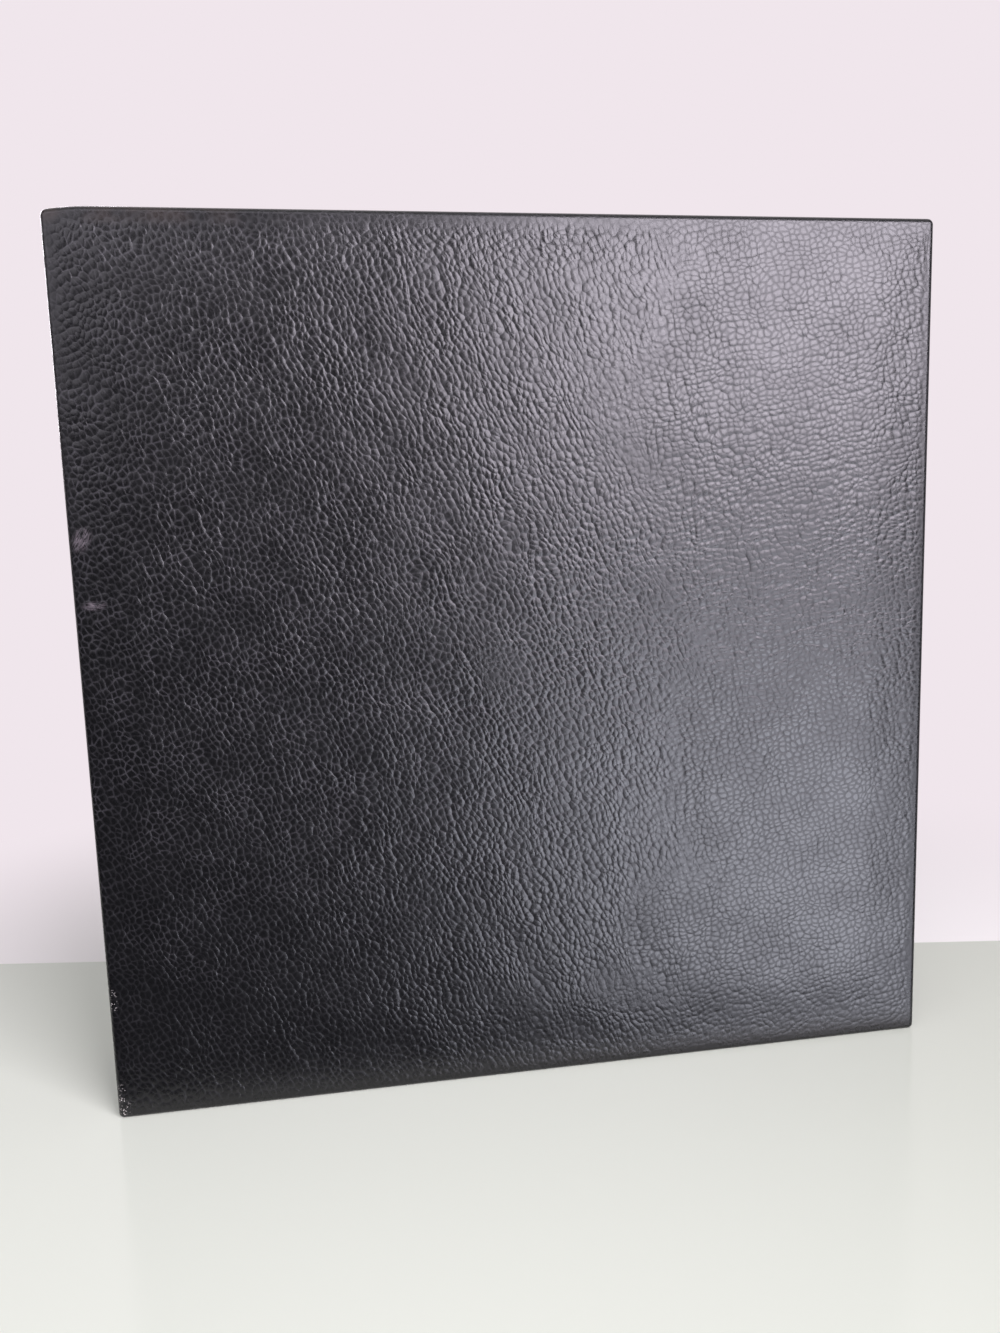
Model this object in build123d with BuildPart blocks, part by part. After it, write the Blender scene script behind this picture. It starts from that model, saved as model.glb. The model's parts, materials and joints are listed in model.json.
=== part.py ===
from build123d import *
from math import pi
import os

# Leather storage box for papers and keepsakes, made like a bookbinder's clamshell.
# A case of three boards under one hide opens like a book. The lid tray is glued inside
# the front cover and closes over the base tray, which is glued inside the back cover.
#
# Frame: the closed box stands on its tail edges as a book does on a shelf. +Z runs from
# tail to head, +X from the spine to the fore edge, and the front cover faces -Y. The
# origin is on the floor below the middle of the closed box. All sizes are millimetres.

# Closed case
case_width = 300.0
case_height = 304.0
case_depth = 56.0
case_edge_radius = 2.0
corner_ease = 0.2

# Leather, boards and the joints between them
leather_thickness = 1.0
cover_board_thickness = 3.0
turn_in_width = 15.0
joint_gap = 1.2
lining_wrap = 0.5

# Padding under the front leather, with its margin to each side of the cover
padding_rise = 1.0
padding_spine_margin = 19.5
padding_fore_margin = 22.5
padding_head_margin = 22.8
padding_tail_margin = 25.8

# Trays
cover_overhang = 3.0
tray_board_thickness = 2.4
tray_floor_thickness = 2.0
covering_thickness = 0.6
tray_lining_thickness = 1.0
tray_rim_radius = 1.0
nesting_gap = 1.5
rim_gap = 1.0
spine_clearance = 0.5
lid_tray_spine_gap = 1.0

# Magnets in the base tray's fore-edge wall, and the steel keepers that they pull
magnet_radius = 5.0
magnet_thickness = 1.5
keeper_thickness = 0.8
magnet_spacing = 160.0
magnet_height_above_back = 23.0

# Lifting ribbon, which lies under the contents
ribbon_width = 20.0
ribbon_thickness = 0.5
ribbon_fold_radius = 2.0
ribbon_tab_length = 28.0

# Directions from a cover's outer face into the box
FRONT_INWARD = 1
BACK_INWARD = -1

# Outline of the case
front_face = -case_depth / 2
front_band = front_face + padding_rise
back_face = case_depth / 2
spine_face = -case_width / 2
fore_edge = case_width / 2
joint_edge = spine_face + case_edge_radius
case_corner_radius = case_edge_radius + corner_ease
wrap_inner_radius = case_edge_radius - leather_thickness


def cover_layers(face, inward):
    """Depths of a cover's two board faces and of its inner face, from its outer face."""
    board_outer = face + inward * leather_thickness
    board_inner = board_outer + inward * cover_board_thickness
    return board_outer, board_inner, board_inner + inward * leather_thickness


front_board_outer, front_board_inner, front_inner_face = cover_layers(front_band, FRONT_INWARD)
back_board_outer, back_board_inner, back_inner_face = cover_layers(back_face, BACK_INWARD)

# The spine board stands between the covers, with a gap at each joint
spine_board_outer = spine_face + leather_thickness
spine_board_inner = spine_board_outer + cover_board_thickness
spine_inner_face = spine_board_inner + leather_thickness
spine_front = front_inner_face + joint_gap
spine_back = back_inner_face - joint_gap

# Boards stop one leather thickness inside the case, and the lining shows between turn-ins
board_tail = leather_thickness
board_head = case_height - leather_thickness
board_fore_edge = fore_edge - leather_thickness
lining_tail = board_tail + turn_in_width
lining_head = board_head - turn_in_width
lining_fore_edge = board_fore_edge - turn_in_width

# Each joint turns about a line inside the leather, set so that the hide keeps its length
hinge_inset = case_edge_radius - pi / 4 * (case_edge_radius - leather_thickness / 2)
hinge_x = spine_face + hinge_inset
front_hinge_y = front_band + hinge_inset
back_hinge_y = back_face - hinge_inset

# Trays: the lid tray stands inside the covers' overhang, and the base tray inside it
tray_wall = tray_board_thickness + 2 * covering_thickness
lid_left = spine_inner_face + lid_tray_spine_gap
lid_right = fore_edge - cover_overhang
lid_tail = cover_overhang
lid_head = case_height - cover_overhang
lid_floor_face = front_inner_face + tray_floor_thickness
lid_lining_face = lid_floor_face + tray_lining_thickness
lid_rim = back_inner_face - rim_gap

base_left = spine_inner_face + spine_clearance
base_right = lid_right - tray_wall - nesting_gap
base_tail = lid_tail + tray_wall + nesting_gap
base_head = lid_head - tray_wall - nesting_gap
base_floor_face = back_inner_face - tray_floor_thickness
base_lining_face = base_floor_face - tray_lining_thickness
base_rim = lid_lining_face + rim_gap


def slab(x_limits, y_limits, z_limits, mode=Mode.ADD):
    """Rectangular block between two values on each axis, for the part being built."""
    x_low, x_high = sorted(x_limits)
    y_low, y_high = sorted(y_limits)
    z_low, z_high = sorted(z_limits)
    with BuildSketch(Plane.XY.offset(z_low)) as outline:
        with Locations(((x_low + x_high) / 2, (y_low + y_high) / 2)):
            Rectangle(x_high - x_low, y_high - y_low)
    extrude(outline.sketch, amount=z_high - z_low, mode=mode)


def upright_plane(depth):
    """Plane at one depth whose sketch axes run along the box's width and height."""
    return Plane.XZ.offset(-depth)


def cover_blank(face, inner, inward, left, inset):
    """Cover-shaped block: round corners at the fore edge, and a rounded outer face.

    The inset is zero for the leather's outside and one leather thickness for the board.
    The joint side, at left, stays square.
    """
    right = fore_edge - inset
    with BuildPart() as blank:
        with BuildSketch(upright_plane(face)) as outline:
            with Locations(((left + right) / 2, case_height / 2)):
                Rectangle(right - left, case_height - 2 * inset)
            fillet(outline.vertices().sort_by(Axis.X)[-2:], case_corner_radius - inset)
        extrude(amount=-inward * abs(inner - face))
        outer_group = 0 if inward == FRONT_INWARD else -1
        outer_edges = blank.edges().group_by(Axis.Y)[outer_group]
        fillet(outer_edges.sort_by(Axis.X)[1:], case_edge_radius - inset)
    return blank.part


def cover_leather(face, inner, inward):
    """Leather outside of a cover, still solid, with the fold of its turn-in rounded."""
    with BuildPart() as outside:
        add(cover_blank(face, inner, inward, joint_edge, 0))
        inner_group = -1 if inward == FRONT_INWARD else 0
        inner_edges = outside.edges().group_by(Axis.Y)[inner_group]
        fillet(inner_edges.sort_by(Axis.X)[1:], leather_thickness)
    return outside.part


def raised_field(base):
    """Low frustum from just inside the cover's rounded edges up to the padding's margins."""
    top = base - padding_rise
    foot_limits = (joint_edge, fore_edge - case_edge_radius, case_edge_radius,
                   case_height - case_edge_radius)
    field_limits = (spine_face + padding_spine_margin, fore_edge - padding_fore_margin,
                    padding_tail_margin, case_height - padding_head_margin)
    with BuildPart() as field:
        for depth, (left, right, low, high) in ((base, foot_limits), (top, field_limits)):
            with BuildSketch(upright_plane(depth)):
                with Locations(((left + right) / 2, (low + high) / 2)):
                    Rectangle(right - left, high - low)
        loft()
    return field.part


def cover_lining(board_outer, board_inner, inner, inward):
    """Lining sheet between the turn-ins, with a lip that wraps the board's joint edge."""
    with BuildPart() as sheet:
        add(cover_blank(board_outer, board_inner, inward, joint_edge, leather_thickness))
        slab((joint_edge + lining_wrap, fore_edge), (board_outer, board_inner),
             (0, case_height), mode=Mode.SUBTRACT)
        slab((joint_edge, lining_fore_edge), (board_inner, inner), (lining_tail, lining_head))
    return sheet


# Front cover: padded leather over a board
with BuildPart() as front_board:
    add(cover_blank(front_board_outer, front_board_inner, FRONT_INWARD,
                    joint_edge + lining_wrap, leather_thickness))

with BuildPart() as front_padding:
    add(raised_field(front_board_outer))

with BuildPart() as front_leather:
    add(cover_leather(front_band, front_inner_face, FRONT_INWARD))
    add(raised_field(front_band))
    add(cover_blank(front_board_outer, front_board_inner, FRONT_INWARD,
                    joint_edge, leather_thickness), mode=Mode.SUBTRACT)
    add(front_padding.part, mode=Mode.SUBTRACT)
    slab((joint_edge, lining_fore_edge), (front_board_inner, front_inner_face),
         (lining_tail, lining_head), mode=Mode.SUBTRACT)

front_lining = cover_lining(front_board_outer, front_board_inner, front_inner_face,
                            FRONT_INWARD)

# Back cover: flat leather over a board
with BuildPart() as back_board:
    add(cover_blank(back_board_outer, back_board_inner, BACK_INWARD,
                    joint_edge + lining_wrap, leather_thickness))

with BuildPart() as back_leather:
    add(cover_leather(back_face, back_inner_face, BACK_INWARD))
    add(cover_blank(back_board_outer, back_board_inner, BACK_INWARD,
                    joint_edge, leather_thickness), mode=Mode.SUBTRACT)
    slab((joint_edge, lining_fore_edge), (back_board_inner, back_inner_face),
         (lining_tail, lining_head), mode=Mode.SUBTRACT)

back_lining = cover_lining(back_board_outer, back_board_inner, back_inner_face,
                           BACK_INWARD)


def spine_blank(x_outer, x_inner, y_limits, z_limits, edge_radius):
    """Spine-shaped block whose outer edges at the head and tail are rounded."""
    with BuildPart() as blank:
        slab((x_outer, x_inner), y_limits, z_limits)
        end_edges = blank.edges().filter_by(Axis.Y).group_by(Axis.X)[0]
        fillet(end_edges, edge_radius)
    return blank.part


# Spine: leather over a narrow board, lined inside
with BuildPart() as spine_board:
    add(spine_blank(spine_board_outer, spine_board_inner,
                    (spine_front + lining_wrap, spine_back - lining_wrap),
                    (board_tail, board_head), wrap_inner_radius))

with BuildPart() as spine_leather:
    add(spine_blank(spine_face, spine_inner_face, (spine_front, spine_back),
                    (0, case_height), case_edge_radius))
    fold_edges = spine_leather.edges().filter_by(Axis.Y).group_by(Axis.X)[-1]
    fillet(fold_edges, leather_thickness)
    add(spine_blank(spine_board_outer, spine_board_inner, (spine_front, spine_back),
                    (board_tail, board_head), wrap_inner_radius), mode=Mode.SUBTRACT)
    slab((spine_board_inner, spine_inner_face), (spine_front, spine_back),
         (lining_tail, lining_head), mode=Mode.SUBTRACT)

with BuildPart() as spine_lining:
    add(spine_blank(spine_board_outer, spine_board_inner, (spine_front, spine_back),
                    (board_tail, board_head), wrap_inner_radius))
    add(spine_board.part, mode=Mode.SUBTRACT)
    slab((spine_board_inner, spine_inner_face), (spine_front, spine_back),
         (lining_tail, lining_head))


def joint_strip(face, spine_end, inward, outer_radius, thickness, z_limits):
    """Flexible strip round one corner of the case, from the cover to the spine.

    Its section is a quarter ring about the corner's centre and a straight leg that runs
    on along the spine to the spine board's edge.
    """
    centre_y = face + inward * case_edge_radius
    inner_radius = outer_radius - thickness
    start_angle = 180 if inward == FRONT_INWARD else 90
    with BuildPart() as strip:
        with BuildSketch(Plane.XY.offset(z_limits[0])):
            with BuildLine():
                for radius in (outer_radius, inner_radius):
                    CenterArc((joint_edge, centre_y), radius, start_angle, 90)
                    Line((joint_edge - radius, centre_y), (joint_edge - radius, spine_end))
                Line((joint_edge, centre_y - inward * outer_radius),
                     (joint_edge, centre_y - inward * inner_radius))
                Line((joint_edge - outer_radius, spine_end), (joint_edge - inner_radius, spine_end))
            make_face()
        extrude(amount=z_limits[1] - z_limits[0])
    return strip


# Joints: the leather that bends, and the lining glued behind it
joints = {
    "front": (front_band, spine_front, FRONT_INWARD),
    "back": (back_face, spine_back, BACK_INWARD),
}
joint_leather = {}
joint_lining = {}
for side, (face, spine_end, inward) in joints.items():
    joint_leather[side] = joint_strip(face, spine_end, inward, case_edge_radius,
                                      leather_thickness, (0, case_height))
    joint_lining[side] = joint_strip(face, spine_end, inward, wrap_inner_radius,
                                     lining_wrap, (board_tail, board_head))


def make_tray(left, right, tail, head, foot, floor_face, lining_face, rim, spine_wall):
    """Pieces of one tray: wall boards round a floor board, their covering and the lining.

    The tray opens from its foot towards its rim. Without a spine wall it is open on
    that side too, and the covering wraps the ends of the head and tail walls.
    """
    inward = 1 if rim > foot else -1
    wall_rim = rim - inward * covering_thickness
    board_left = left + covering_thickness
    board_right = right - covering_thickness
    board_low = tail + covering_thickness
    board_high = head - covering_thickness
    floor_left = board_left + tray_board_thickness if spine_wall else left
    floor_right = board_right - tray_board_thickness
    floor_low = board_low + tray_board_thickness
    floor_high = board_high - tray_board_thickness
    hollow_left = floor_left + covering_thickness if spine_wall else left
    hollow_right = floor_right - covering_thickness
    hollow_low = floor_low + covering_thickness
    hollow_high = floor_high - covering_thickness

    limits = {
        "fore_edge_wall": ((floor_right, board_right), (foot, wall_rim), (board_low, board_high)),
        "head_wall": ((board_left, floor_right), (foot, wall_rim), (floor_high, board_high)),
        "tail_wall": ((board_left, floor_right), (foot, wall_rim), (board_low, floor_low)),
        "floor": ((floor_left, floor_right), (foot, floor_face), (floor_low, floor_high)),
    }
    if spine_wall:
        limits["spine_wall"] = ((board_left, floor_left), (foot, wall_rim), (floor_low, floor_high))

    pieces = {}
    for piece, piece_limits in limits.items():
        with BuildPart() as board:
            slab(*piece_limits)
        pieces[piece] = board

    with BuildPart() as covering:
        slab((left, right), (foot, rim), (tail, head))
        outer_corners = covering.edges().filter_by(Axis.Y).group_by(Axis.X)
        fillet(outer_corners[-1], tray_rim_radius)
        if spine_wall:
            fillet(covering.edges().filter_by(Axis.Y).group_by(Axis.X)[0], tray_rim_radius)
        slab((hollow_left, hollow_right), (foot, rim), (hollow_low, hollow_high),
             mode=Mode.SUBTRACT)
        fillet(covering.edges().filter_by_position(Axis.Y, rim, rim), tray_rim_radius)
        for piece_limits in limits.values():
            slab(*piece_limits, mode=Mode.SUBTRACT)
    pieces["covering"] = covering

    with BuildPart() as lining:
        slab((hollow_left, hollow_right), (floor_face, lining_face), (hollow_low, hollow_high))
    pieces["lining"] = lining
    return pieces


def disc_pair(outer_x, thickness):
    """Two equal discs, one above the other, from a wall's face into the wall."""
    disc_depth = back_inner_face - magnet_height_above_back
    with BuildPart() as discs:
        with BuildSketch(Plane.YZ.offset(outer_x)):
            with Locations((disc_depth, case_height / 2)):
                with GridLocations(0, magnet_spacing, 1, 2):
                    Circle(magnet_radius)
        extrude(amount=thickness)
    return discs


lid_tray = make_tray(lid_left, lid_right, lid_tail, lid_head, front_inner_face,
                     lid_floor_face, lid_lining_face, lid_rim, spine_wall=False)
base_tray = make_tray(base_left, base_right, base_tail, base_head, back_inner_face,
                      base_floor_face, base_lining_face, base_rim, spine_wall=True)

# Magnets lie flush in the base tray's wall board, and keepers in the lid tray's
tray_magnets = disc_pair(base_right - covering_thickness, -magnet_thickness)
lid_keepers = disc_pair(lid_right - tray_wall + covering_thickness, keeper_thickness)
for tray, discs in ((base_tray, tray_magnets), (lid_tray, lid_keepers)):
    with tray["fore_edge_wall"]:
        add(discs.part, mode=Mode.SUBTRACT)

# Ribbon across the base tray's lining and up its fore-edge wall
ribbon_left = base_left + tray_wall
ribbon_right = base_right - tray_wall
ribbon_face = base_lining_face - ribbon_thickness
ribbon_end = base_lining_face - ribbon_tab_length
with BuildPart() as lifting_ribbon:
    with BuildSketch(Plane.XY.offset((case_height - ribbon_width) / 2)) as ribbon_section:
        with BuildLine():
            Polyline(
                (ribbon_left, base_lining_face),
                (ribbon_right, base_lining_face),
                (ribbon_right, ribbon_end),
                (ribbon_right - ribbon_thickness, ribbon_end),
                (ribbon_right - ribbon_thickness, ribbon_face),
                (ribbon_left, ribbon_face),
                close=True,
            )
        make_face()
        outer_fold = ribbon_section.vertices().sort_by_distance((ribbon_right, base_lining_face))[0]
        fillet(outer_fold, ribbon_fold_radius)
        inner_fold = ribbon_section.vertices().sort_by_distance(
            (ribbon_right - ribbon_thickness, ribbon_face))[0]
        fillet(inner_fold, ribbon_fold_radius - ribbon_thickness)
    extrude(amount=ribbon_width)

pieces = {
    "front_leather": front_leather,
    "front_padding": front_padding,
    "front_board": front_board,
    "front_lining": front_lining,
    "spine_leather": spine_leather,
    "spine_board": spine_board,
    "spine_lining": spine_lining,
    "back_leather": back_leather,
    "back_board": back_board,
    "back_lining": back_lining,
    "tray_magnets": tray_magnets,
    "lid_keepers": lid_keepers,
    "lifting_ribbon": lifting_ribbon,
}
for side in joints:
    pieces[f"{side}_joint_leather"] = joint_leather[side]
    pieces[f"{side}_joint_lining"] = joint_lining[side]
for tray_name, tray in (("lid_tray", lid_tray), ("base_tray", base_tray)):
    for piece_name, piece in tray.items():
        pieces[f"{tray_name}_{piece_name}"] = piece

os.makedirs("parts", exist_ok=True)
for name, piece in pieces.items():
    piece.part.label = name
    export_step(piece.part, f"parts/{name}.step")

print("hinge lines at x", round(hinge_x, 4), "y", round(front_hinge_y, 4), round(back_hinge_y, 4))
print("base tray inside", round(ribbon_left, 3), round(ribbon_right, 3), base_tail + tray_wall,
      base_head - tray_wall, "from", base_rim, "to", base_lining_face)
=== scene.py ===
"""Looks of a leather storage box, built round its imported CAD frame. All lengths are metres.

The box stands like a book: +Z runs from tail to head, +X from the spine to the fore edge,
and the padded front cover faces -Y. One black hide covers the front, the spine and the back.
It is made here in five pieces, cut where the joints let it bend, and its grain runs on from
piece to piece, because every piece carries the hide's own flat coordinates as its UV map.
"""
import json
import math
from functools import partial

import bmesh
import bpy
import numpy as np
from mathutils import Matrix, Vector

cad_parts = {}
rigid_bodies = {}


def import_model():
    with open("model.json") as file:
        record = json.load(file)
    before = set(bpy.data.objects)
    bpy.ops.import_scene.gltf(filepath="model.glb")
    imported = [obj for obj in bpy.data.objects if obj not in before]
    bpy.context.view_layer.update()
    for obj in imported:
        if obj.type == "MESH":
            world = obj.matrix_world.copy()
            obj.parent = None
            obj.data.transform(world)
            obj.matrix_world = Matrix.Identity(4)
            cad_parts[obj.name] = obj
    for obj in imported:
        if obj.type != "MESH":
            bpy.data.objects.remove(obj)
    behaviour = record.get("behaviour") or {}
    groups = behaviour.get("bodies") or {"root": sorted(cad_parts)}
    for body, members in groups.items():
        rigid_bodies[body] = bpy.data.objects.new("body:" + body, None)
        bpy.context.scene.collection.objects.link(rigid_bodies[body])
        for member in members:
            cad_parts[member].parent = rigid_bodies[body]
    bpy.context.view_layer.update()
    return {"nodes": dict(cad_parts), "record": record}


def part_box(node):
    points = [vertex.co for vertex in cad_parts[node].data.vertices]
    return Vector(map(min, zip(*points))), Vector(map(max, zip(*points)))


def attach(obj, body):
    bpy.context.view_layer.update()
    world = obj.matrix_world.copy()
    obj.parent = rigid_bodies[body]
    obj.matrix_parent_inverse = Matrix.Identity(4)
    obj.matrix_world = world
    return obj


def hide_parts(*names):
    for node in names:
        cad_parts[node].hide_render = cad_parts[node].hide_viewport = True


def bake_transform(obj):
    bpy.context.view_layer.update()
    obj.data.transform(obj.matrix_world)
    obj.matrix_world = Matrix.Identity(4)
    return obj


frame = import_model()
MM = 0.001

# Case, read from the frame
front_low, front_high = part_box("front_leather")
spine_low, spine_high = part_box("spine_leather")
head, fore_edge = front_high.z, front_high.x
front_band, front_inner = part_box("front_joint_leather")[0].y, front_high.y
back_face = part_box("back_leather")[1].y
spine_face, joint_edge = spine_low.x, front_low.x
padding_rise = front_band - front_low.y
hide_depth = front_inner - front_band

# Sizes that the frame's boxes don't give, as in the CAD model
edge_radius = 2.0 * MM
corner_radius = 2.2 * MM
hide_thickness = 1.0 * MM
turn_in = 15.0 * MM
spine_margin, fore_margin = 19.5 * MM, 22.5 * MM
head_margin, tail_margin = 22.8 * MM, 25.8 * MM

# The hide is cut on the flat of each cover, this far from the joint
seam_margin = 4.0 * MM
seam_x = joint_edge + seam_margin

# Points on a quarter circle, and on a joint's margin between the seam and its bend
arc_points, margin_points = 8, 4

# Hide coordinates: u runs back from the front cover round the spine, and v runs up
joint_length = math.pi / 2 * edge_radius
joint_centre_front = front_band + edge_radius
joint_centre_back = back_face - edge_radius
spine_length = joint_centre_back - joint_centre_front
u_front_joint = joint_edge
u_back_joint = joint_edge - 2 * joint_length - spine_length
u_spine_middle = (u_front_joint + u_back_joint) / 2


def smooth_step(value, start, end):
    """0 before start, 1 after end, and the cubic 3t^2 - 2t^3 between them."""
    t = np.clip((value - start) / (end - start), 0, 1)
    return t * t * (3 - 2 * t)


def raised_field(x, z):
    """Height of the padded field: the soft least of four ramps from the edges, and of 1.

    The soft least of numbers r is -log(sum(exp(-k r))) / k, so the field's rim is rounded.
    """
    sharpness = 12.0
    ramps = np.stack([
        (x - joint_edge) / (spine_margin - edge_radius),
        (fore_edge - edge_radius - x) / (fore_margin - edge_radius),
        (z - edge_radius) / (tail_margin - edge_radius),
        (head - edge_radius - z) / (head_margin - edge_radius),
        np.ones_like(x),
    ])
    least = -np.log(np.exp(-sharpness * ramps).sum(axis=0)) / sharpness
    return padding_rise * np.maximum(least, 0)


def hide_swell(u, v):
    """Slow swells of a hide that was glued by hand: a sum of five sines, none at the edges.

    Each wave is given as its length along u and along v in mm, and its phase.
    """
    waves = ((41, 63, 1.4), (67, 37, 2.4), (-53, 29, 3.5), (29, -71, 3.9), (23, 31, 3.3))
    wave_height, full_height_from = 0.016 * MM, 16 * MM
    swell = sum(np.sin(2 * np.pi * (u / (along * MM) + v / (up * MM)) + phase)
                for along, up, phase in waves)
    from_ends = 0.5 * head - np.abs(v - 0.5 * head)
    from_joint = np.abs(np.abs(u - u_spine_middle) - (u_front_joint - u_back_joint) / 2)
    for distance, calm in ((from_ends, 4 * MM), (from_joint, 5 * MM), (fore_edge - u, 4 * MM)):
        swell = swell * smooth_step(distance, calm, full_height_from)
    return wave_height * swell


def worn_corner(points):
    """Lowers the soft head corner of the front joint, most at its tip, and moves nothing else.

    The drop is shared out by a power of the nearness to the spine, and by a smooth step
    each of the height and of the depth behind the front cover.
    """
    reach, drop = 13 * MM, 1.25 * MM
    along = np.clip((spine_face + reach - points[:, 0]) / reach, 0, 1) ** 1.6
    height = smooth_step(points[:, 2], head - 16 * MM, head - 2 * MM)
    depth = 1 - smooth_step(points[:, 1], front_band + 3 * MM, front_band + 14 * MM)
    lowered = points.copy()
    lowered[:, 2] -= drop * along * height * depth
    return lowered


def grid_faces(rows, columns, wrapped=False):
    """Quads between neighbouring rows and columns of a grid numbered row by row.

    In a wrapped grid, the last column's neighbour is the first one.
    """
    last_column = columns if wrapped else columns - 1
    r, c = np.meshgrid(np.arange(rows - 1), np.arange(last_column), indexing="ij")
    c_next = (c + 1) % columns
    corners = (r * columns + c, r * columns + c_next, (r + 1) * columns + c_next,
               (r + 1) * columns + c)
    return np.stack(corners, axis=-1).reshape(-1, 4)


def make_piece(name, points, faces, uv, material):
    """Mesh object from points, faces and one UV pair for each point.

    Points that meet are merged, so poles and seams close, and the faces are then turned
    outwards. Edges that turn by more than 50 degrees stay sharp under smooth shading.
    """
    sharp_above = math.radians(50)
    mesh = bpy.data.meshes.new(name)
    mesh.from_pydata(points.tolist(), [], faces)
    corner_points = np.empty(len(mesh.loops), dtype=np.int32)
    mesh.loops.foreach_get("vertex_index", corner_points)
    layer = mesh.uv_layers.new(name="hide")
    layer.data.foreach_set("uv", uv[corner_points].astype(np.float32).ravel())
    work = bmesh.new()
    work.from_mesh(mesh)
    bmesh.ops.remove_doubles(work, verts=work.verts, dist=0.002 * MM)
    bmesh.ops.recalc_face_normals(work, faces=work.faces)
    work.to_mesh(mesh)
    work.free()
    mesh.shade_smooth()
    mesh.set_sharp_from_angle(angle=sharp_above)
    mesh.materials.append(material)
    piece = bpy.data.objects.new(name, mesh)
    bpy.context.scene.collection.objects.link(piece)
    return piece


def nested_outlines(insets, left, spacing):
    """U-shaped outlines inside a cover, open at the joint: tail edge, fore edge, head edge.

    Outline i is the cover's rectangle less insets[i], from left[i] to round corners at the
    fore edge. The corner radius follows the rounded edge at first, and then grows steadily
    inwards, to at most a share of half the outline's height.
    Returns x, z and the outward direction of every point, one row an outline.
    """
    inset, left = insets[:, None], left[:, None]
    growth, widest = 0.6, 0.95
    radius = np.where(inset < edge_radius, corner_radius - inset,
                      corner_radius - edge_radius + growth * (inset - edge_radius))
    radius = np.minimum(radius, widest * (0.5 * head - inset))
    right, low, high = fore_edge - inset - radius, inset + radius, head - inset - radius
    side = np.linspace(0, 1, round((fore_edge - left.min()) / spacing))[None, :]
    upright = np.linspace(0, 1, round(head / spacing))[None, 1:-1]
    turn = np.linspace(0, math.pi / 2, arc_points)[None, :]
    flat, one = np.zeros_like(side), np.ones_like(side)
    x = np.hstack([left + (right - left) * side[:, :-1], right + radius * np.sin(turn),
                   (fore_edge - inset) + 0 * upright, right + radius * np.cos(turn),
                   right + (left - right) * side[:, 1:]])
    z = np.hstack([inset + 0 * side[:, :-1], low - radius * np.cos(turn),
                   low + (high - low) * upright, high + radius * np.sin(turn),
                   head - inset + 0 * side[:, 1:]])
    out_x = np.hstack([flat[:, :-1], np.sin(turn), 1 + 0 * upright, np.cos(turn), flat[:, 1:]])
    out_z = np.hstack([-one[:, :-1], -np.cos(turn), 0 * upright, np.sin(turn), one[:, 1:]])
    return x, z, out_x + 0 * inset, out_z + 0 * inset


def cover_profile(face_insets):
    """Section of a cover's hide, from the middle of its face, round the edge, and back inside.

    Returns for each point its inset from the cover's outline, its depth below the face and
    the length of hide between it and the flat of the face.
    """
    depth, fold, step = hide_depth, hide_thickness, 0.05 * MM
    board_edge = 2 * MM
    turn = np.linspace(0, math.pi / 2, arc_points)[1:]
    inner_face = face_insets[::4]
    turned_in = np.linspace(fold, fold + turn_in, 5)[1:]
    wrapped = edge_radius * math.pi / 2
    inside = wrapped + board_edge + 0.6 * fold + turned_in
    sections = [
        (face_insets[::-1], 0 * face_insets, 0 * face_insets),
        (edge_radius * (1 - np.sin(turn)), edge_radius * (1 - np.cos(turn)), edge_radius * turn),
        (np.zeros(3), np.array([edge_radius + step, 3 * MM, depth - fold]),
         np.linspace(wrapped, wrapped + board_edge, 3)),
        (fold * (1 - np.cos(turn)), depth - fold * (1 - np.sin(turn)),
         wrapped + board_edge + fold * turn),
        (turned_in, depth + 0 * turned_in, inside),
        (turned_in[::-1], depth - fold + 0 * turned_in, inside[::-1]),
        (fold + np.zeros(3), np.array([depth - fold, edge_radius + step, edge_radius]),
         wrapped + np.zeros(3)),
        (edge_radius - fold * np.sin(turn[::-1]), edge_radius - fold * np.cos(turn[::-1]),
         edge_radius * turn[::-1]),
        (inner_face, fold + 0 * inner_face, 0 * inner_face),
    ]
    return tuple(np.concatenate(column) for column in zip(*sections))


def cover_hide(name, face, inward, rise, spacing, face_insets, u_of_x, material):
    """Hide of one cover: nested outlines carried along the section, closed at the joint side.

    Depth is the section's depth, less the padded field's height and the hide's swells on the
    face. Past the rounded edge, the turned-in hide runs on from the seam to the board's end,
    so both ends of the section get a cap in each plane, and a small step between them.
    """
    inset, depth, beyond = cover_profile(face_insets)
    nearly = 1e-9
    turned = depth > edge_radius + 0.01 * MM
    x, z, out_x, out_z = nested_outlines(inset, np.where(turned, joint_edge, seam_x), spacing)
    on_face = (depth <= hide_thickness + nearly) & (inset >= edge_radius - nearly)
    u, v = u_of_x(x + out_x * beyond[:, None]), z + out_z * beyond[:, None]
    lift = on_face[:, None] * (rise(x, z) + hide_swell(u, v))
    y = face + inward * (depth[:, None] - lift)
    points = worn_corner(np.stack([x, y, z], axis=-1).reshape(-1, 3))
    rows, columns = x.shape
    faces = grid_faces(rows, columns).tolist()
    start, stop = np.flatnonzero(turned)[[0, -1]]
    for column in (0, columns - 1):
        ends = np.arange(rows) * columns + column
        outside, inside = np.concatenate([ends[:start], ends[stop + 1:]]), ends[start:stop + 1]
        between = ends[[start - 1, start, stop, stop + 1]]
        faces += [cap.tolist() for cap in (outside, inside, between)]
    return make_piece(name, points, faces, np.stack([u, v], axis=-1).reshape(-1, 2), material)


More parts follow.
